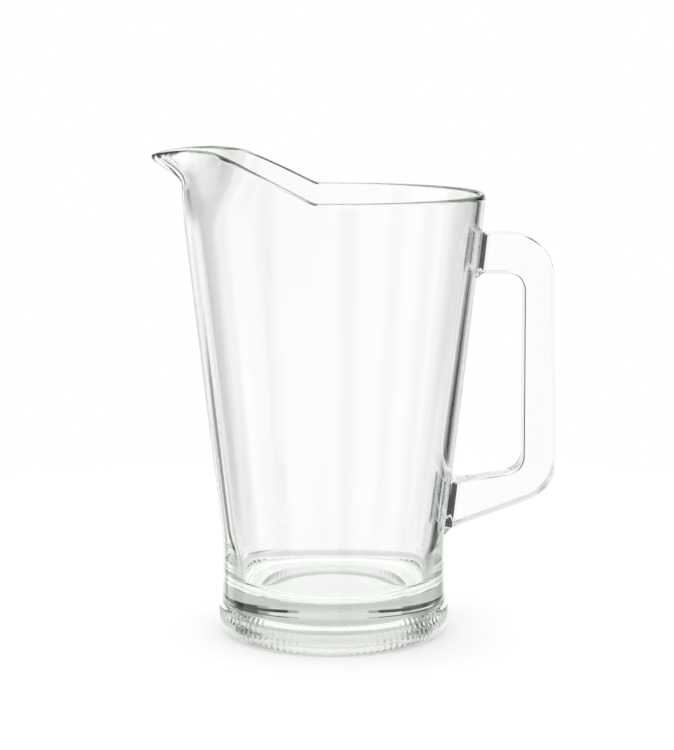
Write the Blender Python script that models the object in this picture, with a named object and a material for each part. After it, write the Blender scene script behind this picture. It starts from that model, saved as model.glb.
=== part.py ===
"""Glass water pitcher: a tapered wall with a pulled pouring lip, a heavy foot and a handle.

Metres, +Z up. The pitcher stands on z = 0, with its handle towards +X and its lip towards -X.
The origin is the middle of its footprint, so the vessel's own axis lies to the -X side of it.
"""
import math

import bmesh
import bpy
from mathutils import Vector

# Vessel outside
RIM_HEIGHT = 0.215        # resting plane to the level part of the rim
RIM_RADIUS = 0.0734
SHANK_RADIUS = 0.0545     # straight band above the foot
SHANK_ABOVE_SEAT = 0.014  # how far the straight band runs up the wall before it opens out

# Vessel inside
RIM_WALL = 0.0033         # thickness of the glass at the rim
FLOOR_WALL = 0.0083       # thickness of the glass beside the floor
FLOOR_HEIGHT = 0.0225
FLOOR_FILLET = 0.0095

# Foot
FOOT_STEP = 0.0019        # how far the foot band stands out from the straight band
BAND_HEIGHT = 0.0145      # middle of that step
BAND_EASE = 0.0022        # half the height of that step
HEEL_WIDTH = 0.005
HEEL_HEIGHT = 0.008
RING_WIDTH = 0.0104       # bearing ring that touches the table
RECESS_DEPTH = 0.0076
RECESS_SLOPE = 0.0035     # width of the recess's sloping side

# Pouring lip, seen from the side
LIP_RISE = 0.0218         # crest of the lip above the level rim
LIP_OVERHANG = 0.0125     # tip of the lip beyond the line of the wall
TIP_ROUND = 0.0011        # part of it that the rounded edge adds
TIP_DROP = 0.0037         # tip of the lip below its crest
DROOP_LENGTH = 0.0136     # stretch behind the tip where the crest falls away
RAMP_START = 0.0091       # distance from the vessel axis where the rim starts to climb
RAMP_START_EASE = 0.003
RAMP_END_INSET = 0.0201   # where the climb would meet the crest, inside the rim's radius
RAMP_END_EASE = 0.010
LIP_ROOT_RISE = 0.0055    # bend between the wall and the lip, above the level rim
LIP_BEND = 0.0025         # half the height of that bend
PINCH_ROOT_DROP = 0.008   # where the wall starts to lean in beside the lip, below the level rim
PINCH_BEND = 0.012        # half the height of that bend

# Pouring lip, seen from above: angles from the tip
LIP_HALF_ANGLE = math.radians(9.3)
PINCH_ANGLE = math.radians(29.5)
PINCH_HALF_ANGLE = math.radians(20.7)
PINCH_DEPTH = 0.0112      # how far the rim is drawn in on both sides of the lip

# Handle, in the plane of the vessel axis
HANDLE_SPREAD = 0.0346    # back of the grip beyond the rim's radius
HANDLE_DROP = 0.0193      # top of the handle below the level rim
UPPER_ARM = 0.019         # thickness of the upper arm
GRIP_LEAN = 0.0025        # how much nearer the axis the top of the grip's back is
GRIP_TOP = 0.0138         # thickness of the grip at its two ends
GRIP_FOOT = 0.0158
LOWER_ROOT_TOP = 0.0736   # height of the lower root's upper edge
LOWER_ROOT = 0.0246       # thickness of the lower arm at the wall
LOWER_ARM_RISE = 0.0056   # climb of the lower arm's finger side from the wall to its elbow
LOWER_ELBOW = 0.0087      # height between the lower elbow's two corners
UPPER_ELBOW_RADII = (0.008, 0.020)    # finger side, back
LOWER_ELBOW_RADII = (0.010, 0.020)
HANDLE_WIDTH = 0.020
ROOT_FLARE = 0.0016       # how far the hot glass spreads where the handle is stuck on
ROOT_FLARE_LENGTH = 0.004
ROOT_SINK = 0.006         # length of each arm that the wall trims away

SEAM_GAP = 0.0003         # clearance between pieces that are fused on the real pitcher

# Facets
AROUND = 72
WALL_STEPS = 5            # levels of the plain wall
LIP_STEPS = 10            # levels of the part that the lip bends
RIM_STEPS = 4             # facets over the rim's round edge
ARC_STEPS = 5             # facets in a fillet or an elbow
ARM_STEPS = 5             # sections along each arm of the handle
GRIP_STEPS = 3
SECTION_POINTS = 18
SECTION_POWER = 2.6       # 2 is an ellipse, more is squarer
SHARP_ANGLE = math.radians(35)        # edges that bend more are shaded sharp

# Glass
GLASS_ROUGHNESS = 0.02
GLASS_INDEX = 1.52

# Heights that follow from the sizes above
SEAT_HEIGHT = FLOOR_HEIGHT + FLOOR_FILLET
TAPER_START = SEAT_HEIGHT + SHANK_ABOVE_SEAT
OVERALL_HEIGHT = RIM_HEIGHT + LIP_RISE
TIP_HEIGHT = OVERALL_HEIGHT - TIP_DROP
LIP_ROOT = RIM_HEIGHT + LIP_ROOT_RISE
PINCH_ROOT = RIM_HEIGHT - PINCH_ROOT_DROP
LIP_START_HEIGHT = PINCH_ROOT - PINCH_BEND
HANDLE_TOP = RIM_HEIGHT - HANDLE_DROP

# Radii that follow from the sizes above
FLOOR_RADIUS = SHANK_RADIUS - FLOOR_WALL
FOOT_RADIUS = SHANK_RADIUS + FOOT_STEP
RING_OUTER_RADIUS = FOOT_RADIUS - HEEL_WIDTH
RING_INNER_RADIUS = RING_OUTER_RADIUS - RING_WIDTH
RAMP_END = RIM_RADIUS - RAMP_END_INSET
HANDLE_REACH = RIM_RADIUS + HANDLE_SPREAD


def soft_ramp(distance, ease):
    """Zero before a corner and the distance after it, rounded over the ease on both sides."""
    if distance <= -ease:
        return 0.0
    if distance >= ease:
        return distance
    return (distance + ease) ** 2 / (4 * ease)


def bell(angle, width):
    return math.exp(-(angle / width) ** 2)


def outer_radius(height):
    """Outside of the plain vessel: a straight band that opens into a cone."""
    taper = (RIM_RADIUS - SHANK_RADIUS) / (RIM_HEIGHT - TAPER_START)
    return SHANK_RADIUS + taper * max(0.0, height - TAPER_START)


def inner_radius(height):
    """Inside of the plain vessel: one cone from the floor to the rim."""
    taper = (RIM_RADIUS - RIM_WALL - FLOOR_RADIUS) / (RIM_HEIGHT - FLOOR_HEIGHT)
    return FLOOR_RADIUS + taper * (height - FLOOR_HEIGHT)


# The lip leans at about 45 degrees, so its rounded edge ends this far below the tip
TIP_EDGE_HEIGHT = TIP_HEIGHT - RIM_WALL / math.sqrt(2)
LIP_REACH = outer_radius(TIP_EDGE_HEIGHT) + LIP_OVERHANG
AXIS_X = (LIP_REACH - HANDLE_REACH) / 2


def rim_line(reach):
    """Height of the rim in the side view, at a distance from the axis towards the lip."""
    climb = LIP_RISE / (RAMP_END - RAMP_START)
    rise = soft_ramp(reach - RAMP_START, RAMP_START_EASE) - soft_ramp(reach - RAMP_END, RAMP_END_EASE)
    droop = soft_ramp(reach - LIP_REACH + DROOP_LENGTH, DROOP_LENGTH)
    return RIM_HEIGHT + climb * rise - TIP_DROP / DROOP_LENGTH * droop


def lip_pull(from_tip):
    """How far the rim is pulled out at an angle from the tip."""
    at_tip = LIP_OVERHANG - TIP_ROUND + PINCH_DEPTH * bell(PINCH_ANGLE, PINCH_HALF_ANGLE)
    return at_tip * bell(from_tip, LIP_HALF_ANGLE)


def rim_pinch(from_tip):
    """How far the rim is pinched in at an angle from the tip."""
    return PINCH_DEPTH * bell(from_tip - PINCH_ANGLE, PINCH_HALF_ANGLE)


def lip_offset(from_tip, height):
    """Distance that the wall stands out from the plain vessel at a height: pulled out less pinched in."""
    full_pull = soft_ramp(TIP_EDGE_HEIGHT - LIP_ROOT, LIP_BEND)
    full_pinch = soft_ramp(OVERALL_HEIGHT - PINCH_ROOT, PINCH_BEND)
    pulled = lip_pull(from_tip) * soft_ramp(height - LIP_ROOT, LIP_BEND) / full_pull
    pinched = rim_pinch(from_tip) * soft_ramp(height - PINCH_ROOT, PINCH_BEND) / full_pinch
    return pulled - pinched


def lip_slope(from_tip, height):
    step = 0.0001
    return (lip_offset(from_tip, height + step) - lip_offset(from_tip, height - step)) / (2 * step)


def wall_pair(from_tip, height):
    """Outside and inside points (radius, height) of the wall, square across its thickness."""
    slope = lip_slope(from_tip, height)
    outside = Vector((outer_radius(height) + lip_offset(from_tip, height), height))
    normal = Vector((1.0, -slope)).normalized()
    thickness = outer_radius(height) - inner_radius(height)
    return outside, outside - normal * thickness


def wall_section(from_tip):
    """Closed outline of the wall at one angle: up the inside, over the rim, down the outside."""
    rim_radius = outer_radius(OVERALL_HEIGHT) + lip_pull(from_tip) - rim_pinch(from_tip)
    top = rim_line(rim_radius * math.cos(from_tip))
    slope = lip_slope(from_tip, top)
    edge_rise = RIM_WALL / 2 * (1 + max(0.0, slope)) / math.hypot(1, slope)
    edge = top - edge_rise
    bottom = SEAT_HEIGHT + SEAM_GAP
    heights = [bottom]
    for step in range(WALL_STEPS):
        heights.append(TAPER_START + (LIP_START_HEIGHT - TAPER_START) * step / (WALL_STEPS - 1))
    for step in range(1, LIP_STEPS + 1):
        heights.append(LIP_START_HEIGHT + (edge - LIP_START_HEIGHT) * step / LIP_STEPS)
    pairs = [wall_pair(from_tip, height) for height in heights]
    outside, inside = pairs[-1]
    middle = (outside + inside) / 2
    across = (inside - outside) / 2
    along = Vector((across.y, -across.x))
    rim = []
    for step in range(1, RIM_STEPS):
        turn = math.pi * step / RIM_STEPS
        rim.append(middle + across * math.cos(turn) + along * math.sin(turn))
    return [pair[1] for pair in pairs] + rim + [pair[0] for pair in reversed(pairs)]


def arc(centre, radius_x, radius_z, start, end):
    """Points of a quarter round or a fillet, from one angle to another, both ends included."""
    points = []
    for step in range(ARC_STEPS + 1):
        turn = start + (end - start) * step / ARC_STEPS
        points.append((centre[0] + radius_x * math.cos(turn), centre[1] + radius_z * math.sin(turn)))
    return points


def foot_profile():
    """Half section of the foot, from the middle of its floor round to the middle underneath."""
    seat_inner = inner_radius(SEAT_HEIGHT)
    fillet = arc((seat_inner - FLOOR_FILLET, SEAT_HEIGHT), FLOOR_FILLET, FLOOR_FILLET, -math.pi / 2, 0)
    step_top = BAND_HEIGHT + BAND_EASE
    step_out = (FOOT_RADIUS - SHANK_RADIUS) / 2
    cove = []
    for step in range(ARC_STEPS + 1):
        share = step / ARC_STEPS
        cove.append((
            SHANK_RADIUS + step_out * (1 - math.cos(math.pi * share)),
            step_top - 2 * BAND_EASE * share,
        ))
    heel = arc((RING_OUTER_RADIUS, HEEL_HEIGHT), HEEL_WIDTH, HEEL_HEIGHT, 0, -math.pi / 2)
    recess = [
        (RING_INNER_RADIUS, 0),
        (RING_INNER_RADIUS - RECESS_SLOPE, RECESS_DEPTH),
        (0, RECESS_DEPTH),
    ]
    return [(0, FLOOR_HEIGHT)] + fillet + [(SHANK_RADIUS, SEAT_HEIGHT)] + cove + heel + recess


def rounded_outline(corners, radii):
    """Points along one side of the handle: arm, elbow, grip, elbow, arm."""
    arcs = []
    for index, radius in enumerate(radii):
        before, corner, after = corners[index:index + 3]
        back = (before - corner).normalized()
        ahead = (after - corner).normalized()
        half = back.angle(ahead) / 2
        tangent = radius / math.tan(half)
        centre = corner + (back + ahead).normalized() * radius / math.sin(half)
        first = corner + back * tangent - centre
        last = corner + ahead * tangent - centre
        sweep = first.angle(last)
        elbow = []
        for step in range(ARC_STEPS + 1):
            share = step / ARC_STEPS
            blend = first * math.sin(sweep * (1 - share)) + last * math.sin(sweep * share)
            elbow.append(centre + blend / math.sin(sweep))
        arcs.append(elbow)
    points = []
    for step in range(ARM_STEPS):
        points.append(corners[0].lerp(arcs[0][0], (step / ARM_STEPS) ** 2))
    points += arcs[0]
    for step in range(1, GRIP_STEPS):
        points.append(arcs[0][-1].lerp(arcs[1][0], step / GRIP_STEPS))
    points += arcs[1]
    for step in reversed(range(ARM_STEPS)):
        points.append(corners[3].lerp(arcs[1][-1], (step / ARM_STEPS) ** 2))
    return points


def handle_outlines():
    """The handle's finger side and back, as side-view points (distance from axis, height)."""
    root_heights = (HANDLE_TOP - UPPER_ARM, HANDLE_TOP, LOWER_ROOT_TOP, LOWER_ROOT_TOP - LOWER_ROOT)
    inner_top, outer_top, inner_low, outer_low = [
        Vector((outer_radius(height) - ROOT_SINK, height)) for height in root_heights
    ]
    back_top = HANDLE_REACH - GRIP_LEAN
    inner_elbow = LOWER_ROOT_TOP + LOWER_ARM_RISE
    inner = [
        inner_top,
        Vector((back_top - GRIP_TOP, HANDLE_TOP - UPPER_ARM)),
        Vector((HANDLE_REACH - GRIP_FOOT, inner_elbow)),
        inner_low,
    ]
    outer = [
        outer_top,
        Vector((back_top, HANDLE_TOP)),
        Vector((HANDLE_REACH, inner_elbow - LOWER_ELBOW)),
        outer_low,
    ]
    inner_radii, outer_radii = zip(UPPER_ELBOW_RADII, LOWER_ELBOW_RADII)
    return rounded_outline(inner, inner_radii), rounded_outline(outer, outer_radii)


def handle_sections():
    """Squared-oval rings from the upper root to the lower one, spread where they meet the wall."""
    rings = []
    for inner, outer in zip(*handle_outlines()):
        middle = (inner + outer) / 2
        from_wall = max(0.0, middle.x - outer_radius(middle.y))
        flare = ROOT_FLARE * math.exp(-from_wall / ROOT_FLARE_LENGTH)
        across = (outer - inner) / 2
        across *= 1 + flare / across.length
        half_width = HANDLE_WIDTH / 2 + flare
        ring = []
        for point in range(SECTION_POINTS):
            turn = 2 * math.pi * point / SECTION_POINTS
            cosine = math.copysign(abs(math.cos(turn)) ** (2 / SECTION_POWER), math.cos(turn))
            sine = math.copysign(abs(math.sin(turn)) ** (2 / SECTION_POWER), math.sin(turn))
            side = middle + across * cosine
            ring.append(Vector((side.x, half_width * sine, side.y)))
        rings.append(ring)
    return rings


def skin(bm, rings, closed):
    """Join rings of points into a surface; a closed stack returns to its first ring."""
    loops = [[bm.verts.new(point) for point in ring] for ring in rings]
    count = len(loops[0])
    for index in range(len(loops) if closed else len(loops) - 1):
        here = loops[index]
        there = loops[(index + 1) % len(loops)]
        for point in range(count):
            after = (point + 1) % count
            bm.faces.new((here[point], here[after], there[after], there[point]))
    if not closed:
        bm.faces.new(loops[0])
        bm.faces.new(loops[-1])


def glass(name, colour):
    material = bpy.data.materials.new(name)
    material.use_nodes = True
    shader = material.node_tree.nodes["Principled BSDF"]
    shader.inputs["Base Color"].default_value = (*colour, 1.0)
    shader.inputs["Roughness"].default_value = GLASS_ROUGHNESS
    shader.inputs["Metallic"].default_value = 0.0
    shader.inputs["IOR"].default_value = GLASS_INDEX
    shader.inputs["Transmission Weight"].default_value = 1.0
    return material


def add_piece(name, bm, parent, material):
    bmesh.ops.recalc_face_normals(bm, faces=bm.faces)
    mesh = bpy.data.meshes.new(name)
    bm.to_mesh(mesh)
    bm.free()
    mesh.shade_smooth()
    mesh.set_sharp_from_angle(angle=SHARP_ANGLE)
    if material:
        mesh.materials.append(material)
    piece = bpy.data.objects.new(name, mesh)
    piece.parent = parent
    bpy.context.scene.collection.objects.link(piece)
    return piece


def make_vessel_wall(axis):
    bm = bmesh.new()
    sections = []
    for index in range(AROUND):
        turn = 2 * math.pi * index / AROUND
        from_tip = abs(math.pi - turn)
        sections.append([
            Vector((point.x * math.cos(turn), point.x * math.sin(turn), point.y))
            for point in wall_section(from_tip)
        ])
    skin(bm, sections, closed=True)
    return add_piece("vessel_wall", bm, axis, glass("clear_wall_glass", (0.95, 0.97, 0.96)))


def turned(bm, profile):
    """Spin a half section about the vessel axis into a solid."""
    verts = [bm.verts.new((radius, 0, height)) for radius, height in profile]
    edges = [bm.edges.new(pair) for pair in zip(verts, verts[1:])]
    bmesh.ops.spin(
        bm,
        geom=verts + edges,
        cent=(0, 0, 0),
        axis=(0, 0, 1),
        angle=2 * math.pi,
        steps=AROUND,
    )
    bmesh.ops.remove_doubles(bm, verts=bm.verts, dist=1e-6)


def make_foot(axis):
    bm = bmesh.new()
    turned(bm, foot_profile())
    return add_piece("foot", bm, axis, glass("green_foot_glass", (0.86, 0.93, 0.89)))


def make_wall_trim(axis):
    """Cutter that ends the handle on the wall: the vessel's outside, larger by the seam gap."""
    low = SEAT_HEIGHT
    high = RIM_HEIGHT
    heights = [high, TAPER_START, low]
    profile = [(0, high)] + [(outer_radius(height) + SEAM_GAP, height) for height in heights] + [(0, low)]
    bm = bmesh.new()
    turned(bm, profile)
    cutter = add_piece("wall_trim", bm, axis, None)
    cutter.hide_render = True
    cutter.display_type = "WIRE"
    return cutter


def make_handle(axis):
    bm = bmesh.new()
    skin(bm, handle_sections(), closed=False)
    handle = add_piece("handle", bm, axis, glass("clear_handle_glass", (0.96, 0.97, 0.97)))
    trim = handle.modifiers.new("trim_on_wall", "BOOLEAN")
    trim.operation = "DIFFERENCE"
    trim.solver = "EXACT"
    trim.object = make_wall_trim(axis)
    return handle


def main():
    for existing in list(bpy.data.objects):
        bpy.data.objects.remove(existing)
    axis = bpy.data.objects.new("vessel_axis", None)
    axis.location = (AXIS_X, 0, 0)
    bpy.context.scene.collection.objects.link(axis)
    make_vessel_wall(axis)
    make_foot(axis)
    make_handle(axis)


main()
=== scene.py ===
# %% [markdown]
# # A clear glass water pitcher
# This lesson finishes a pitcher whose solid pieces already exist as plain, faceted shapes. Each visible
# piece is modelled again here with a fine surface, in the same place and at the same size, and gets a
# glass material. Clear glass has no colour of its own: it shows what stands around it. So the last cells,
# the studio, matter as much as the modelling.

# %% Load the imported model
import math

import bpy
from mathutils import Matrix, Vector


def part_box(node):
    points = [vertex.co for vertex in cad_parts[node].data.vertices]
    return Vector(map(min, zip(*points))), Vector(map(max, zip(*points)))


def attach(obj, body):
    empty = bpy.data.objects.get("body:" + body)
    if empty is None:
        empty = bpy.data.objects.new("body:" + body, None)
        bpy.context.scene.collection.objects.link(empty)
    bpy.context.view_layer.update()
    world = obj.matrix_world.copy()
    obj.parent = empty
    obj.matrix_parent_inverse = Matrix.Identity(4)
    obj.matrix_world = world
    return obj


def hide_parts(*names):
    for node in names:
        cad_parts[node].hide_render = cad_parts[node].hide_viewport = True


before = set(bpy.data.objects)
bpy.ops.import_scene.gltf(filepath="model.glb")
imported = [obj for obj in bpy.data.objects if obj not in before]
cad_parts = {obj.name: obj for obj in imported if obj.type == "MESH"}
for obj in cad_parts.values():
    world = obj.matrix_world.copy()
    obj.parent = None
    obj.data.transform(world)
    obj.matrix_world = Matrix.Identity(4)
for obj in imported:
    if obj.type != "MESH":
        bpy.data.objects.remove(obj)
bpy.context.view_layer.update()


def in_mm(lengths):
    """Lengths in metres as millimetres, to print."""
    return [round(1000 * length, 1) for length in lengths]


print("nodes:", sorted(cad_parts))

# %% [markdown]
# ## The sizes
# The vessel is round about an upright axis, so its shape is a half section: radii at heights. The axis is
# not the origin, because the origin is the middle of the whole footprint, handle and lip included. The
# foot is round, so the middle of its box gives the axis, and its top is where wall and foot meet.

# %% Sizes of the vessel
foot_low, foot_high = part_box("foot")
AXIS_X = (foot_low.x + foot_high.x) / 2
FOOT_RADIUS = (foot_high.x - foot_low.x) / 2
SEAT_HEIGHT = foot_high.z
RIM_HEIGHT = 0.215        # level part of the rim
RIM_RADIUS = 0.0734
RIM_WALL = 0.0033         # thickness of the glass at the rim
SHANK_RADIUS = 0.0545     # straight band above the foot
TAPER_START = 0.046       # height where the band opens into the cone
TAPER_EASE = 0.006        # half the height over which it does so
FLOOR_HEIGHT = 0.0225
FLOOR_RADIUS = 0.0462     # the inside cone, carried down to the floor
print("axis at x =", round(AXIS_X, 5), "foot radius", round(FOOT_RADIUS, 5), "seat", round(SEAT_HEIGHT, 5))

# %% [markdown]
# ## The plain wall
# The mould leaves a straight band that opens into a cone, and the plunger leaves one plain cone inside,
# so the wall thins towards the rim. Circles of different sizes could be bridged into these cones. Here
# each side is a rule that gives a radius for any height, because the lip is pulled out of this wall and
# the handle ends on it, and both have to know where its surface is. The corner between band and cone is
# rounded by easing it.


# %% Outside and inside of the plain wall
def soft_ramp(distance, ease):
    """Zero before a corner and the distance after it, rounded over the ease on both sides."""
    if distance <= -ease:
        return 0.0
    if distance >= ease:
        return distance
    return (distance + ease) ** 2 / (4 * ease)


def outer_radius(height):
    taper = (RIM_RADIUS - SHANK_RADIUS) / (RIM_HEIGHT - TAPER_START)
    return SHANK_RADIUS + taper * soft_ramp(height - TAPER_START, TAPER_EASE)


def inner_radius(height):
    taper = (RIM_RADIUS - RIM_WALL - FLOOR_RADIUS) / (RIM_HEIGHT - FLOOR_HEIGHT)
    return FLOOR_RADIUS + taper * (height - FLOOR_HEIGHT)


for height in (SEAT_HEIGHT, RIM_HEIGHT / 2, RIM_HEIGHT):
    wall = outer_radius(height) - inner_radius(height)
    print("height, outside and wall in mm:", in_mm((height, outer_radius(height), wall)))

# %% [markdown]
# ## Half section: the inside and the rim
# On the real pitcher, hot glass is pressed between a mould and a plunger. The plunger leaves the smooth
# inside and the mould leaves the band, the foot and the ring that touches the table. The section is drawn
# as a single line, from the middle of the floor, up the inside, over the rim, down the outside and back
# underneath. Round stretches are arcs. The line is finer than the solid's, because glass bends light and
# shows every facet.

# %% Points up the inside and over the rim
FLOOR_FILLET = SEAT_HEIGHT - FLOOR_HEIGHT
LIP_START = 0.195         # height above which the lip bends the wall
EDGE_RISE = 0.0024        # height of the rounding over the rim
PLAIN_EDGE = RIM_HEIGHT - EDGE_RISE


def arc(centre_x, centre_z, radius_x, radius_z, start, end, steps):
    """Points from one angle to another, in degrees, without the first one."""
    points = []
    for step in range(1, steps + 1):
        turn = math.radians(start + (end - start) * step / steps)
        points.append((centre_x + radius_x * math.cos(turn), centre_z + radius_z * math.sin(turn)))
    return points


def spread(low, high, steps):
    """Even steps from one value to another, without the first one."""
    return [low + (high - low) * step / steps for step in range(1, steps + 1)]


def wall_side(radius_at, start, end, steps):
    """Points along one side of the wall from one height to another, without the first one."""
    return [(radius_at(height), height) for height in spread(start, end, steps)]


fillet_start = inner_radius(SEAT_HEIGHT) - FLOOR_FILLET
section = [(0.0, FLOOR_HEIGHT)]
section += [(radius, FLOOR_HEIGHT) for radius in spread(0, fillet_start, steps=6)]
section += arc(fillet_start, SEAT_HEIGHT, FLOOR_FILLET, FLOOR_FILLET, -90, 0, steps=14)
section += wall_side(inner_radius, SEAT_HEIGHT, LIP_START, steps=16)
section += wall_side(inner_radius, LIP_START, PLAIN_EDGE, steps=24)
edge_middle = (inner_radius(PLAIN_EDGE) + outer_radius(PLAIN_EDGE)) / 2
edge_half = (outer_radius(PLAIN_EDGE) - inner_radius(PLAIN_EDGE)) / 2
section += arc(edge_middle, PLAIN_EDGE, edge_half, EDGE_RISE, 180, 0, steps=14)
print(len(section), "points up the inside and over the rim")

# %% [markdown]
# ## Half section: the outside and the foot
# Below the band the glass steps out to a heavy foot with a rounded heel. The foot stands on a narrow
# ring, and the recess inside the ring keeps the rest of it off the table. A bevel could round the step
# afterwards, but it would round the whole edge alike, so the step is drawn as a soft S with a cosine.

# %% Points down the outside and underneath
BAND_HEIGHT = 0.0145      # middle of the step between band and foot
BAND_EASE = 0.0022        # half the height of that step
HEEL_WIDTH = 0.005
HEEL_HEIGHT = 0.008
RING_WIDTH = 0.0104       # ring that touches the table
RECESS_DEPTH = 0.0076
RECESS_SLOPE = 0.0035     # how far the recess draws in on its way up

taper_end = TAPER_START + TAPER_EASE
step_top = BAND_HEIGHT + BAND_EASE
step_out = (FOOT_RADIUS - SHANK_RADIUS) / 2
ring_outer = FOOT_RADIUS - HEEL_WIDTH
ring_inner = ring_outer - RING_WIDTH
section += wall_side(outer_radius, PLAIN_EDGE, LIP_START, steps=40)
section += wall_side(outer_radius, LIP_START, taper_end, steps=14)
section += wall_side(outer_radius, taper_end, step_top, steps=12)
for share in spread(0, 1, steps=8):
    section.append((
        SHANK_RADIUS + step_out * (1 - math.cos(math.pi * share)),
        step_top - 2 * BAND_EASE * share,
    ))
section += [(FOOT_RADIUS, height) for height in spread(section[-1][1], HEEL_HEIGHT, steps=3)]
section += arc(ring_outer, HEEL_HEIGHT, HEEL_WIDTH, HEEL_HEIGHT, 0, -90, steps=10)
section.append((ring_inner, 0.0))
section += [(ring_inner - RECESS_SLOPE * share, RECESS_DEPTH * share) for share in spread(0, 1, steps=6)]
section.append((0.0, RECESS_DEPTH))
print(len(section), "points in the half section")

# %% [markdown]
# ## Spinning the section into a vessel
# A drawn line becomes a round solid with the Spin tool. By hand: a plane is added and merged into one
# point, the point is extruded again and again along the section, and the line is spun once round the
# axis. The first and the last point lie on the axis, so the shape closes there by itself.

# %% Spin the vessel
AROUND = 320              # columns of points round the vessel
SEED_SIZE = 0.001         # of the plane that is merged into the first point
SAME_PLACE = 1e-6         # points no further apart than this are one


def begin_point(name, place):
    """A new object in edit mode that holds one point."""
    bpy.ops.object.select_all(action="DESELECT")
    bpy.ops.mesh.primitive_plane_add(size=SEED_SIZE)
    piece = bpy.context.object
    piece.name = name
    bpy.ops.object.mode_set(mode="EDIT")
    bpy.ops.mesh.merge(type="CENTER")
    bpy.ops.transform.translate(value=place)
    return piece


def spin_section(name, points):
    """Draw a half section beside the vessel's axis and turn it into a closed solid."""
    places = [Vector((AXIS_X + radius, 0, height)) for radius, height in points]
    piece = begin_point(name, places[0])
    for here, there in zip(places, places[1:]):
        bpy.ops.mesh.extrude_vertices_move(TRANSFORM_OT_translate={"value": there - here})
    bpy.ops.mesh.select_all(action="SELECT")
    bpy.ops.mesh.spin(steps=AROUND, angle=2 * math.pi, center=(AXIS_X, 0, 0), axis=(0, 0, 1))
    bpy.ops.mesh.select_all(action="SELECT")
    bpy.ops.mesh.remove_doubles(threshold=SAME_PLACE)
    bpy.ops.mesh.normals_make_consistent(inside=False)
    bpy.ops.object.mode_set(mode="OBJECT")
    return piece


vessel = spin_section("pitcher_vessel", section)
print(vessel.name, len(vessel.data.vertices), "points", len(vessel.data.polygons), "faces")

# %% [markdown]
# ## Ribs under the foot
# The recess under a pressed foot is often ribbed all round. Through the front of the foot the ribs show
# as short, faint upright bars. A bump in the material would not bend the view through the glass as they
# do, so they are geometry. The points of the recess wall already stand in columns: half of the columns of
# each rib are selected and scaled outwards, away from the axis.

# %% Ribs of the recess
RIBS = 80
RIB_DEPTH = 0.00015
RIB_START = 0.0025        # the ribs end above the ring that touches the table
RIB_COLUMNS = AROUND // RIBS


def pick(piece):
    """Make one object the only selected one, and the active one."""
    bpy.ops.object.select_all(action="DESELECT")
    piece.select_set(True)
    bpy.context.view_layer.objects.active = piece


def select_points(piece, wanted):
    """Select the points of a piece that a rule accepts, and go to edit mode."""
    pick(piece)
    bpy.ops.object.mode_set(mode="EDIT")
    bpy.ops.mesh.select_mode(type="VERT")
    bpy.ops.mesh.select_all(action="DESELECT")
    bpy.ops.object.mode_set(mode="OBJECT")
    chosen = 0
    for point in piece.data.vertices:
        point.select = wanted(point.co)
        chosen += point.select
    bpy.ops.object.mode_set(mode="EDIT")
    return chosen


def on_rib(place):
    x = place.x - AXIS_X
    column = round(math.atan2(place.y, x) / (2 * math.pi) * AROUND)
    in_recess = math.hypot(x, place.y) < ring_inner
    ribbed = in_recess and RIB_START < place.z < RECESS_DEPTH - SAME_PLACE
    return ribbed and column % RIB_COLUMNS < RIB_COLUMNS // 2


chosen = select_points(vessel, on_rib)
stretch = 1 + RIB_DEPTH / ring_inner
bpy.ops.transform.resize(value=(stretch, stretch, 1), center_override=(AXIS_X, 0, 0))
bpy.ops.object.mode_set(mode="OBJECT")
print(RIBS, "ribs from", chosen, "points")

# %% [markdown]
# ## The line of the rim
# While the glass is still soft, the rim is pulled out into a pouring lip. Seen from the side, the rim is
# level round the back, climbs towards the lip and droops a little at the tip. The line could be drawn as
# a curve and the rim snapped to it by hand. As a rule it serves every point of the rim, however fine the
# mesh is.

# %% Height of the rim
LIP_RISE = 0.0218         # crest of the lip above the level rim
LIP_OVERHANG = 0.0125     # tip beyond the line of the wall
TIP_DROP = 0.0037         # tip below its crest
DROOP_LENGTH = 0.0136
RAMP_START = 0.0091       # distance from the axis where the rim starts to climb
RAMP_START_EASE = 0.003
RAMP_END = 0.0533         # where the climb would meet the crest
RAMP_END_EASE = 0.010
LIP_CREST = RIM_HEIGHT + LIP_RISE
TIP_EDGE = LIP_CREST - TIP_DROP - RIM_WALL / math.sqrt(2)
LIP_REACH = outer_radius(TIP_EDGE) + LIP_OVERHANG


def rim_line(reach):
    """Height of the rim in the side view, at a distance from the axis towards the lip."""
    climb = LIP_RISE / (RAMP_END - RAMP_START)
    rise = soft_ramp(reach - RAMP_START, RAMP_START_EASE) - soft_ramp(reach - RAMP_END, RAMP_END_EASE)
    droop = soft_ramp(reach - LIP_REACH + DROOP_LENGTH, DROOP_LENGTH)
    return RIM_HEIGHT + climb * rise - TIP_DROP / DROOP_LENGTH * droop


print("rim above the axis and at the tip, in mm:", in_mm((rim_line(0), rim_line(LIP_REACH))))

# %% [markdown]
# ## The lean of the wall
# At the tip the wall bends outwards, and on both sides of it the rim is drawn in. Proportional editing
# does the same by hand: what is near the tip moves most, and the rest follows less. Here the pull and the
# pinch fade in a bell shape with the angle from the tip, and each grows with the height above its own
# soft bend.

# %% Pull and pinch of the lip
TIP_ROUND = 0.0011        # part of the overhang that the rounded edge adds
LIP_ROOT = 0.2205         # height of the bend between wall and lip
LIP_BEND = 0.0025
LIP_HALF_ANGLE = math.radians(9.3)
PINCH_ANGLE = math.radians(29.5)
PINCH_HALF_ANGLE = math.radians(20.7)
PINCH_DEPTH = 0.0112      # how far the rim is drawn in on both sides of the lip
PINCH_ROOT = 0.207        # height around which the wall starts to lean in
PINCH_BEND = 0.012


def bell(angle, width):
    return math.exp(-(angle / width) ** 2)


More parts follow.
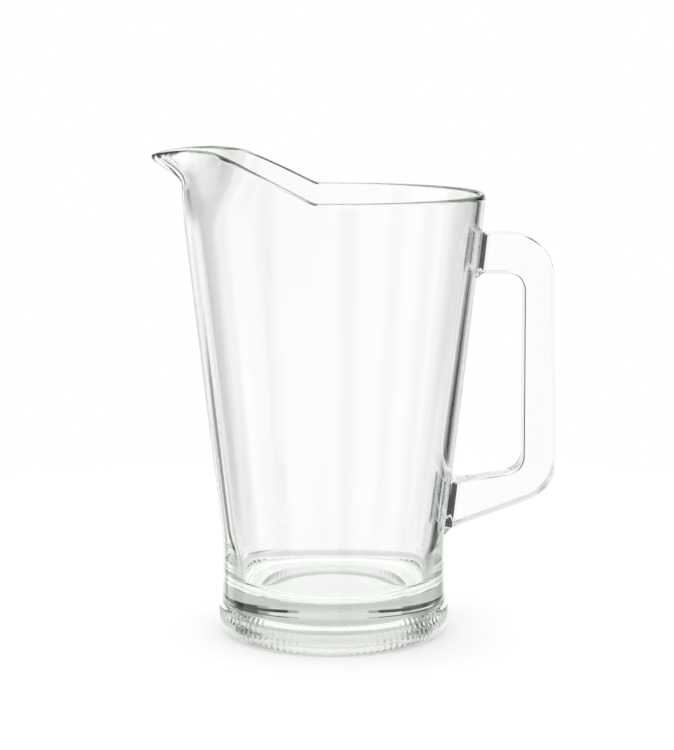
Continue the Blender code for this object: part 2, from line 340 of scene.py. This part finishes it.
def lip_pull(from_tip):
    """How far the rim is pulled out at an angle from the tip."""
    at_tip = LIP_OVERHANG - TIP_ROUND + PINCH_DEPTH * bell(PINCH_ANGLE, PINCH_HALF_ANGLE)
    return at_tip * bell(from_tip, LIP_HALF_ANGLE)


def rim_pinch(from_tip):
    """How far the rim is pinched in at an angle from the tip."""
    return PINCH_DEPTH * bell(from_tip - PINCH_ANGLE, PINCH_HALF_ANGLE)


def bend(height, root, ease, full):
    """How much of a bend has been done at a height, and how fast it grows."""
    whole = soft_ramp(full - root, ease)
    growth = min(max((height - root + ease) / (2 * ease), 0.0), 1.0)
    return soft_ramp(height - root, ease) / whole, growth / whole


def lip_lean(from_tip, height):
    """How far the wall stands out from the plain one at a height, and how fast that grows."""
    out, out_growth = bend(height, LIP_ROOT, LIP_BEND, TIP_EDGE)
    inward, in_growth = bend(height, PINCH_ROOT, PINCH_BEND, LIP_CREST)
    pull = lip_pull(from_tip)
    pinch = rim_pinch(from_tip)
    return pull * out - pinch * inward, pull * out_growth - pinch * in_growth


print("pull at the tip and pinch beside it, in mm:", in_mm((lip_pull(0), rim_pinch(PINCH_ANGLE))))

# %% [markdown]
# ## Pulling the lip
# Dragging the rim with soft selection gives a lip, but only roughly, and the rim has to follow the real
# one from every side. So each point above the shoulder is moved by the rules above: it keeps its share of
# the height and its place across the wall, while the wall it belongs to climbs, leans out and draws in.


# %% Shape of the lip
def pulled(radius, height, from_tip):
    """Where a point of the plain wall goes when the lip is pulled."""
    below = min(height, PLAIN_EDGE)
    across = 2 * (radius - inner_radius(below)) / (outer_radius(below) - inner_radius(below)) - 1
    over_edge = (height - below) / EDGE_RISE
    rim_radius = outer_radius(LIP_CREST) + lip_pull(from_tip) - rim_pinch(from_tip)
    top = rim_line(rim_radius * math.cos(from_tip))
    slope = lip_lean(from_tip, top)[1]
    edge = top - (EDGE_RISE + edge_half * max(0.0, slope)) / math.hypot(1, slope)
    lifted = LIP_START + (below - LIP_START) / (PLAIN_EDGE - LIP_START) * (edge - LIP_START)
    offset, slope = lip_lean(from_tip, lifted)
    outside = Vector((outer_radius(lifted) + offset, lifted))
    normal = Vector((1.0, -slope)).normalized()
    along = Vector((slope, 1.0)).normalized()
    depth = (outer_radius(lifted) - inner_radius(lifted)) / 2
    return outside + normal * depth * (across - 1) + along * over_edge * depth * EDGE_RISE / edge_half


moved = 0
for point in vessel.data.vertices:
    if point.co.z > LIP_START:
        x = point.co.x - AXIS_X
        turn = math.atan2(point.co.y, x)
        place = pulled(math.hypot(x, point.co.y), point.co.z, math.pi - abs(turn))
        point.co = (AXIS_X + place.x * math.cos(turn), place.x * math.sin(turn), place.y)
        moved += 1
print(moved, "points moved; tip at x =", round(min(point.co.x for point in vessel.data.vertices), 4))

# %% [markdown]
# ## The line of the handle
# A second gather of hot glass is stuck on for the handle, first high on the wall, then bent and pressed
# on below. So it has two straight arms, two round elbows and a grip. A curve with a bevel could be swept
# along its middle, but the handle gets thicker and thinner on its way, so its two sides are drawn one by
# one. This cell holds the rule for a side: stations along an arm, an elbow, the grip, an elbow and an
# arm.

# %% One side of the handle
ARM_STEPS = (             # stations along each arm, closest where the glass starts to spread
    0, 0.003, 0.005, 0.006, 0.007, 0.008,
    0.0086, 0.0092, 0.0098, 0.0106, 0.012, 0.0145,
)
ELBOW_STATIONS = 10
GRIP_STATIONS = 6


def elbow(before, corner, after, radius):
    """Points round the corner between two straight stretches."""
    back = (before - corner).normalized()
    ahead = (after - corner).normalized()
    half = back.angle(ahead) / 2
    centre = corner + (back + ahead).normalized() * radius / math.sin(half)
    first = corner + back * radius / math.tan(half) - centre
    last = corner + ahead * radius / math.tan(half) - centre
    sweep = first.angle(last)
    points = []
    for step in range(ELBOW_STATIONS + 1):
        share = step / ELBOW_STATIONS
        blend = first * math.sin(sweep * (1 - share)) + last * math.sin(sweep * share)
        points.append(centre + blend / math.sin(sweep))
    return points


def arm(root, end):
    """Points along a straight arm, from its root."""
    along = (end - root).normalized()
    return [root + along * step for step in ARM_STEPS]


def rounded_outline(corners, radii):
    """Points along one side of the handle: arm, elbow, grip, elbow, arm."""
    upper = elbow(*corners[:3], radii[0])
    lower = elbow(*corners[1:], radii[1])
    grip = [upper[-1].lerp(lower[0], step / GRIP_STATIONS) for step in range(1, GRIP_STATIONS)]
    lower_arm = arm(corners[3], lower[-1])
    return arm(corners[0], upper[0]) + upper + grip + lower + lower_arm[::-1]


print("stations on an arm, an elbow and the grip:", len(ARM_STEPS), ELBOW_STATIONS + 1, GRIP_STATIONS - 1)

# %% [markdown]
# ## The two sides
# The finger side has tight elbows and the back has wide ones. The lower arm is deeper than the upper one
# where it meets the wall, because the glass was pressed on there. Each side is given by four corners, as
# one would place them over a picture of the side view. Both arms start a little inside the wall, and what
# is inside it is trimmed away later.

# %% Outlines of the handle
HANDLE_TOP = 0.1957
HANDLE_REACH = 0.108      # back of the grip from the axis
UPPER_ARM = 0.019         # height of the upper arm
GRIP_LEAN = 0.0025        # the top of the grip is this much nearer the axis than its foot
GRIP_TOP = 0.0138         # depth of the grip at its top
GRIP_FOOT = 0.0158        # and at its foot
LOWER_ROOT_TOP = 0.0736
LOWER_ROOT = 0.0246       # height of the lower root on the wall
LOWER_ARM_RISE = 0.0056   # rise of the lower arm's finger side from the wall to the elbow
LOWER_ELBOW = 0.0087      # lower corner of the back below that of the finger side
FINGER_RADII = (0.008, 0.010)   # upper and lower elbow
BACK_RADII = (0.020, 0.020)
ROOT_SINK = 0.006         # start of each arm inside the wall


def root_corner(height):
    return Vector((outer_radius(height) - ROOT_SINK, height))


grip_back = HANDLE_REACH - GRIP_LEAN
elbow_height = LOWER_ROOT_TOP + LOWER_ARM_RISE
finger_side = rounded_outline([
    root_corner(HANDLE_TOP - UPPER_ARM),
    Vector((grip_back - GRIP_TOP, HANDLE_TOP - UPPER_ARM)),
    Vector((HANDLE_REACH - GRIP_FOOT, elbow_height)),
    root_corner(LOWER_ROOT_TOP),
], FINGER_RADII)
back_side = rounded_outline([
    root_corner(HANDLE_TOP),
    Vector((grip_back, HANDLE_TOP)),
    Vector((HANDLE_REACH, elbow_height - LOWER_ELBOW)),
    root_corner(LOWER_ROOT_TOP - LOWER_ROOT),
], BACK_RADII)
print(len(finger_side), "stations along the handle")

# %% [markdown]
# ## The section at each station
# The handle's section is a square with round corners. Where it meets the wall the soft glass spreads,
# sideways and a little up and down. Resizing by eye would do for one root, but both have to spread alike,
# so the spread is a rule too: it starts at a distance from the wall and grows at a steady slope.

# %% Middle, turn and size of each section
HANDLE_WIDTH = 0.020
FLARE_SLOPE = math.tan(math.radians(44))
FLARE_START = 0.0032      # distance from the wall where the glass starts to spread sideways
SWELL_START = 0.0020      # and up and down
FLARE_EASE = 0.0005


def station(inner, outer):
    """Middle, turn, thickness and width of the handle's section at one station."""
    middle = (inner + outer) / 2
    across = outer - inner
    from_wall = max(0.0, middle.x - outer_radius(middle.y))
    flare = FLARE_SLOPE * soft_ramp(FLARE_START - from_wall, FLARE_EASE)
    swell = FLARE_SLOPE * soft_ramp(SWELL_START - from_wall, FLARE_EASE)
    turn = math.atan2(across.y, across.x)
    thickness = across.length + 2 * swell
    return Vector((AXIS_X + middle.x, 0, middle.y)), turn, thickness, HANDLE_WIDTH + 2 * flare


stations = [station(inner, outer) for inner, outer in zip(finger_side, back_side)]
widths = [width for middle, turn, thickness, width in stations]
print("least and greatest width in mm:", in_mm((min(widths), max(widths))))

# %% [markdown]
# ## Extruding the handle
# The first section is added at the upper root, then extruded, turned and resized from station to station,
# as one would do by hand with E, R and S. A section swept along a curve would be quicker, but its
# thickness and its width could not change each by itself.

# %% Extrude the handle from station to station
CORNER_ROUND = 0.0018     # on the section at the upper root
CORNER_SEGMENTS = 4


def turn_selected(turn, centre):
    """Turn what is selected in the side view, from +X towards +Z."""
    bpy.ops.transform.rotate(value=turn, orient_axis="Y", center_override=centre)


bpy.ops.object.select_all(action="DESELECT")
bpy.ops.mesh.primitive_plane_add(size=1)
handle = bpy.context.object
handle.name = "pitcher_handle"
bpy.ops.object.mode_set(mode="EDIT")
middle, turn, thickness, width = stations[0]
bpy.ops.transform.resize(value=(thickness, width, 1))
bpy.ops.mesh.bevel(affect="VERTICES", offset=CORNER_ROUND, segments=CORNER_SEGMENTS, profile=0.5)
turn_selected(turn, (0, 0, 0))
bpy.ops.transform.translate(value=middle)
for here, there in zip(stations, stations[1:]):
    middle, turn, thickness, width = there
    bpy.ops.mesh.extrude_region_move(TRANSFORM_OT_translate={"value": middle - here[0]})
    swing = (turn - here[1] + math.pi) % (2 * math.pi) - math.pi
    turn_selected(swing, middle)
    axes = (
        (math.cos(turn), 0, math.sin(turn)),
        (0, 1, 0),
        (-math.sin(turn), 0, math.cos(turn)),
    )
    bpy.ops.transform.resize(
        value=(thickness / here[2], width / here[3], 1),
        orient_type="LOCAL",
        orient_matrix=axes,
        orient_matrix_type="LOCAL",
        center_override=middle,
    )
bpy.ops.mesh.select_all(action="SELECT")
bpy.ops.mesh.normals_make_consistent(inside=False)
bpy.ops.object.mode_set(mode="OBJECT")
print(handle.name, len(handle.data.polygons), "faces, size in mm", in_mm(handle.dimensions))

# %% [markdown]
# ## Smoothing the handle and ending it on the wall
# Fire-polished glass has no hard edges, so two levels of subdivision round the extruded cage. The roots
# still reach into the wall, and a Boolean takes away what is inside it. The tool for that is spun from
# the wall's own outside, made larger by a thin seam: two glass surfaces in the same place would spoil the
# refraction.

# %% Smooth and trim the handle
SEAM_GAP = 0.0003
SMOOTH_LEVELS = 2


def apply_modifier(piece, kind, **settings):
    """Add a modifier, set it up and apply it."""
    pick(piece)
    modifier = piece.modifiers.new(kind.lower(), kind)
    for key, value in settings.items():
        setattr(modifier, key, value)
    bpy.ops.object.modifier_apply(modifier=modifier.name)


def seam_radius(height):
    return outer_radius(height) + SEAM_GAP


apply_modifier(handle, "SUBSURF", levels=SMOOTH_LEVELS, render_levels=SMOOTH_LEVELS)
trim_section = [(0.0, RIM_HEIGHT)]
trim_section += wall_side(seam_radius, RIM_HEIGHT, SEAT_HEIGHT, steps=60)
trim_section += [(0.0, SEAT_HEIGHT)]
trim = spin_section("wall_trim", trim_section)
apply_modifier(handle, "BOOLEAN", operation="DIFFERENCE", solver="EXACT", object=trim)
bpy.data.objects.remove(trim)
print(handle.name, len(handle.data.polygons), "faces after the trim")

# %% [markdown]
# ## Glass
# Soda-lime glass lets light through, bends it by its index and takes out a little red and blue on the
# way, so thick glass looks green. The colour could be put on the surface, but then thin and thick glass
# would look alike. So it is set as absorption in the volume. Pressed glass is never quite even: a slow
# noise ripples its surface by hundredths of a millimetre, and a finer one changes how sharply it shines.

# %% Glass material
GLASS_INDEX = 1.52
BLOOM_SCALE = 60.0        # noise that changes the polish
BLOOM_DETAIL = 3.0
ROUGHEST = 0.02
WAVE_SCALE = 22.0         # noise that ripples the surface
WAVE_DETAIL = 1.0
RIPPLE = 0.02             # share of the ripple's height that shows
RIPPLE_HEIGHT = 0.001


def noise(tree, scale, detail):
    """A noise that sits still on the piece."""
    place = tree.nodes.new("ShaderNodeTexCoord")
    texture = tree.nodes.new("ShaderNodeTexNoise")
    texture.inputs["Scale"].default_value = scale
    texture.inputs["Detail"].default_value = detail
    tree.links.new(place.outputs["Object"], texture.inputs["Vector"])
    return texture.outputs["Fac"]


def clear_glass(name, tint, density):
    """Glass with an uneven polish, a slow ripple and a tint that grows with its depth."""
    material = bpy.data.materials.new(name)
    material.use_nodes = True
    tree = material.node_tree
    shader = tree.nodes["Principled BSDF"]
    shader.inputs["Base Color"].default_value = (1, 1, 1, 1)
    shader.inputs["Transmission Weight"].default_value = 1.0
    shader.inputs["IOR"].default_value = GLASS_INDEX
    polish = tree.nodes.new("ShaderNodeMapRange")
    polish.inputs["To Min"].default_value = 0.0
    polish.inputs["To Max"].default_value = ROUGHEST
    tree.links.new(noise(tree, BLOOM_SCALE, BLOOM_DETAIL), polish.inputs["Value"])
    tree.links.new(polish.outputs["Result"], shader.inputs["Roughness"])
    bump = tree.nodes.new("ShaderNodeBump")
    bump.inputs["Strength"].default_value = RIPPLE
    bump.inputs["Distance"].default_value = RIPPLE_HEIGHT
    tree.links.new(noise(tree, WAVE_SCALE, WAVE_DETAIL), bump.inputs["Height"])
    tree.links.new(bump.outputs["Normal"], shader.inputs["Normal"])
    depth = tree.nodes.new("ShaderNodeVolumeAbsorption")
    depth.inputs["Color"].default_value = (*tint, 1)
    depth.inputs["Density"].default_value = density
    tree.links.new(depth.outputs["Volume"], tree.nodes["Material Output"].inputs["Volume"])
    return material


vessel_glass = clear_glass("vessel_glass", tint=(0.66, 0.73, 0.64), density=9.0)
handle_glass = clear_glass("handle_glass", tint=(0.85, 0.9, 0.87), density=6.0)
print("made", vessel_glass.name, "and", handle_glass.name)

# %% [markdown]
# ## Dressing the pieces
# On the real pitcher the wall and the foot are one pressing, so one piece with one glass stands for both
# solids. The handle looks clearer than the foot, so its glass is tinted less. Glass shows every facet, so
# the faces are shaded smooth, but not across its few sharp edges, as under the foot, which an angle tells
# apart.

# %% Dress the vessel and the handle
SMOOTH_BELOW = math.radians(40)


def dress(piece, material, slot, *nodes):
    """Smooth a piece, give it its finish, hang it on the root and hide the solids it stands for."""
    pick(piece)
    bpy.ops.object.shade_smooth_by_angle(angle=SMOOTH_BELOW)
    piece.data.materials.clear()
    piece.data.materials.append(material)
    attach(piece, "root")
    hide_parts(*nodes)
    print(piece.name, "stands for", nodes)


dress(vessel, vessel_glass, "vessel_glass", "vessel_wall", "foot")
dress(handle, handle_glass, "handle_glass", "handle")

# %% [markdown]
# ## The table
# The pitcher stands on a plain white table top. A painted plane is enough for it, a little darker than
# white, as white paint is. It is lit like anything else, so it keeps the pitcher's soft shadow.

# %% Table top
TABLE_RADIUS = 0.45
TABLE_SIDES = 128
TABLE_GREY = 0.86
TABLE_ROUGHNESS = 0.9

bpy.ops.object.select_all(action="DESELECT")
bpy.ops.mesh.primitive_circle_add(vertices=TABLE_SIDES, radius=TABLE_RADIUS, fill_type="NGON")
floor = bpy.context.object
floor.name = "table_top"
white_table = bpy.data.materials.new("white_table")
white_table.use_nodes = True
floor.data.materials.append(white_table)
table_tree = white_table.node_tree
paint = table_tree.nodes["Principled BSDF"]
paint.inputs["Base Color"].default_value = (TABLE_GREY, TABLE_GREY, TABLE_GREY, 1)
paint.inputs["Roughness"].default_value = TABLE_ROUGHNESS
print(floor.name, "is", 2 * TABLE_RADIUS, "m across")

# %% [markdown]
# ## The table in the camera and in the glass
# For the camera the table gets a little light of its own, which brings it to white without more light on
# the pitcher. Seen in and through the glass it needs two things more. Light gathers under the heavy foot,
# and a soft glow there stands for it, because a renderer finds such light only slowly. Further out the
# glass looks past the table to the screens of the studio, so for those rays the table fades out.

# %% Light of the table
CAMERA_LIFT = 0.3
GLOW_FADE = (0.05, 0.08)     # distances from the axis between which the glow under the foot fades
GLOW = (0.75, 0.05)          # the glow at those two distances
TABLE_FADE = (0.088, 0.115)  # distances between which the table fades out in the glass


def calculate(tree, operation, *values):
    """A Math node; each value is a number or the socket that gives it."""
    node = tree.nodes.new("ShaderNodeMath")
    node.operation = operation
    for value, socket in zip(values, node.inputs):
        if isinstance(value, (int, float)):
            socket.default_value = value
        else:
            tree.links.new(value, socket)
    return node.outputs[0]


def soft_change(tree, value, ends, results):
    """One result below the first end, the other above the second, and a soft change between them."""
    ramp = tree.nodes.new("ShaderNodeMapRange")
    ramp.interpolation_type = "SMOOTHSTEP"
    ramp.inputs["From Min"].default_value, ramp.inputs["From Max"].default_value = ends
    ramp.inputs["To Min"].default_value, ramp.inputs["To Max"].default_value = results
    tree.links.new(value, ramp.inputs["Value"])
    return ramp.outputs["Result"]


def glass_rays(tree, rays):
    """1 for rays that a glass surface mirrored or let through."""
    return calculate(tree, "MAXIMUM", rays.outputs["Is Glossy Ray"], rays.outputs["Is Transmission Ray"])


place = table_tree.nodes.new("ShaderNodeTexCoord")
reach = table_tree.nodes.new("ShaderNodeVectorMath")
reach.operation = "DISTANCE"
reach.inputs[1].default_value = (AXIS_X, 0, 0)
table_tree.links.new(place.outputs["Object"], reach.inputs[0])
from_axis = reach.outputs["Value"]
rays = table_tree.nodes.new("ShaderNodeLightPath")
in_glass = glass_rays(table_tree, rays)
under_foot = calculate(table_tree, "MULTIPLY", in_glass, soft_change(table_tree, from_axis, GLOW_FADE, GLOW))
glow = calculate(table_tree, "MULTIPLY_ADD", rays.outputs["Is Camera Ray"], CAMERA_LIFT, under_foot)
paint.inputs["Emission Color"].default_value = (1, 1, 1, 1)
table_tree.links.new(glow, paint.inputs["Emission Strength"])
print("glow under the foot up to", GLOW_FADE[1], "m from the axis")

# %% [markdown]
# ## The table fades out
# A Mix Shader chooses between the paint and a Transparent shader. It could be done with the paint's Alpha
# as well, but this way the choice is plain to see in the node editor.

# %% Fade of the table in the glass
open_table = calculate(
    table_tree, "MULTIPLY", in_glass, soft_change(table_tree, from_axis, TABLE_FADE, (0.0, 1.0)))
clear = table_tree.nodes.new("ShaderNodeBsdfTransparent")
either_way = table_tree.nodes.new("ShaderNodeMixShader")
table_tree.links.new(open_table, either_way.inputs["Fac"])
table_tree.links.new(paint.outputs["BSDF"], either_way.inputs[1])
table_tree.links.new(clear.outputs["BSDF"], either_way.inputs[2])
table_tree.links.new(either_way.outputs["Shader"], table_tree.nodes["Material Output"].inputs["Surface"])
print("in the glass the table ends", TABLE_FADE[1], "m from the axis")

# %% [markdown]
# ## The studio
# Glass is photographed against a bright field: a white surround shines through it, and dark screens
# outside the picture draw its edges, because the curved wall and the thick foot bend the view to them.
# Planes could be stood round the table, but they would also shade it. So the screens are painted on the
# world, and only the glass shows them. They were placed one by one, where the lines in the glass look for
# something dark.

# %% Screens round the table
SCREENS = [   # in degrees: bearing from and to, height from and to; brightness; half the soft edge
    # all round, above the table
    (-10, 370, 14, 100, 0.78, 5),
    # behind, on the handle's side
    (15, 40, -50, 5, 0.30, 3),
    (15, 61, 5, 58, 0.6, 5),
    (43, 74, 5, 13.6, 0.08, 0.6),
    (43, 78, 5, 13.6, 0.5, 0.6),
    (40, 60, -34, 5, 0.01, 1),
    (58, 66, -34, 5, 0.35, 2),
    (14, 40, -7, 12, 0.3, 1.5),
    # behind, on the lip's side
    (124, 158, -5, 58, 0.5, 5),
    (106, 136, 5, 13.6, 0.08, 0.6),
    (102, 136, 5, 13.6, 0.5, 0.6),
    (116, 142, -5, 3, 0.1, 1.5),
    (117.5, 126.5, -34, -13, 0.0, 1),
    (117.5, 126.5, -14, -9, 0.75, 1.5),
    (90, 128, -6, 2, 0.93, 5),
    # high behind
    (47, 80, 33, 53, 0.03, 2),
    # low behind
    (98, 122, -60, -37, 0.0, 1.5),
    (96, 107, -38, -28, 0.0, 1.5),
    (95, 104, -28, -21, 0.35, 2),
    # beyond the lip
    (142, 163, -20, 5, 0.1, 1.5),
    (163, 176, -45, -20, 0.2, 3),
    # on the camera's side
    (207, 222, -30, 8, 0.4, 5),
    (275, 289, -30, 0, 0.4, 4),
    (343, 358, -30, 0, 0.4, 4),
]
print(len(SCREENS), "screens; the darkest has the brightness", min(screen[4] for screen in SCREENS))

# %% [markdown]
# ## Bearing and height
# A screen needs to know which way a ray looks. The world's Generated coordinates give that as an arrow.
# Two angles are easier to think in: the bearing, 0 at the handle's end, 90 behind the pitcher, 180 at the
# lip's end and 270 on the camera's side, and the height above the horizon.

# %% Angles in the world
FULL_TURN = 360.0

studio = bpy.data.worlds.new("studio")
bpy.context.scene.world = studio
studio.use_nodes = True
sky_tree = studio.node_tree
arrow = sky_tree.nodes.new("ShaderNodeTexCoord")
split = sky_tree.nodes.new("ShaderNodeSeparateXYZ")
sky_tree.links.new(arrow.outputs["Generated"], split.inputs[0])
round_axis = calculate(sky_tree, "ARCTAN2", split.outputs["Y"], split.outputs["X"])
turns = calculate(sky_tree, "MULTIPLY", round_axis, 0.5 / math.pi)
bearing = calculate(sky_tree, "MULTIPLY", calculate(sky_tree, "FRACT", turns), FULL_TURN)
above_level = calculate(sky_tree, "ARCSINE", split.outputs["Z"])
height_angle = calculate(sky_tree, "MULTIPLY", above_level, 180 / math.pi)
print(studio.name, "knows the bearing and the height of a ray")

# %% [markdown]
# ## Light of the studio
# Each screen is a window in bearing and height with a soft edge. Where screens overlap, their brightness
# is multiplied, as with sheets of grey film. Rays from glass see the screens. The camera and the table
# get an even white, so the picture's background stays white and the light on the table stays soft.


# %% World of screens
def between(angle, low, high, soft):
    """1 inside a range of angles and 0 outside it, with a soft edge."""
    half = (high - low) / 2
    distance = calculate(sky_tree, "ABSOLUTE", calculate(sky_tree, "SUBTRACT", angle, (low + high) / 2))
    return soft_change(sky_tree, distance, (half - soft, half + soft), (1.0, 0.0))


def behind_screen(left, right, low, high, bright, soft):
    """Light that comes past one screen: its brightness inside it, and 1 outside."""
    across = between(bearing, left, right, soft)
    upright = between(height_angle, low, high, soft)
    shaded = sky_tree.nodes.new("ShaderNodeMapRange")
    shaded.inputs["To Min"].default_value = 1.0
    shaded.inputs["To Max"].default_value = bright
    sky_tree.links.new(calculate(sky_tree, "MULTIPLY", across, upright), shaded.inputs["Value"])
    return shaded.outputs["Result"]


light = behind_screen(*SCREENS[0])
for screen in SCREENS[1:]:
    light = calculate(sky_tree, "MULTIPLY", light, behind_screen(*screen))
sky = sky_tree.nodes.new("ShaderNodeMix")
sky.data_type = "RGBA"
sky.inputs["A"].default_value = (1, 1, 1, 1)
sky_rays = sky_tree.nodes.new("ShaderNodeLightPath")
sky_tree.links.new(glass_rays(sky_tree, sky_rays), sky.inputs["Factor"])
sky_tree.links.new(light, sky.inputs["B"])
background = sky_tree.nodes["Background"]
sky_tree.links.new(sky.outputs["Result"], background.inputs["Color"])
background.inputs["Strength"].default_value = 1.0
print(len(sky_tree.nodes), "nodes in the", studio.name)

# %% [markdown]
# ## Camera
# The camera stands where the photograph's did, which was found from the ellipses of the rim, the floor
# and the foot. It could be placed by eye, but the way glass bends the view changes with every degree. In
# thick glass a ray is mirrored inside many times before it gets out, and each time counts as a bounce.
# With the usual limits such rays end black, so the limits are raised.

# %% Camera and bounces
CAMERA_PLACE = (AXIS_X + 0.00166, -1.0955, 0.29324)
LOOK_DOWN = math.radians(8.669)
LENS = 109.30             # in mm
SENSOR = 36.0             # longer side of the picture on the sensor, in mm
GLASS_BOUNCES = 64

scene = bpy.context.scene
bpy.ops.object.camera_add(location=CAMERA_PLACE, rotation=(math.pi / 2 - LOOK_DOWN, 0, 0))
scene.camera = bpy.context.object
scene.camera.data.lens = LENS
scene.camera.data.sensor_width = SENSOR
scene.view_settings.view_transform = "Standard"
scene.cycles.max_bounces = GLASS_BOUNCES
scene.cycles.glossy_bounces = GLASS_BOUNCES
scene.cycles.transmission_bounces = GLASS_BOUNCES
print("camera at", [round(side, 3) for side in CAMERA_PLACE], "with a lens of", LENS, "mm")
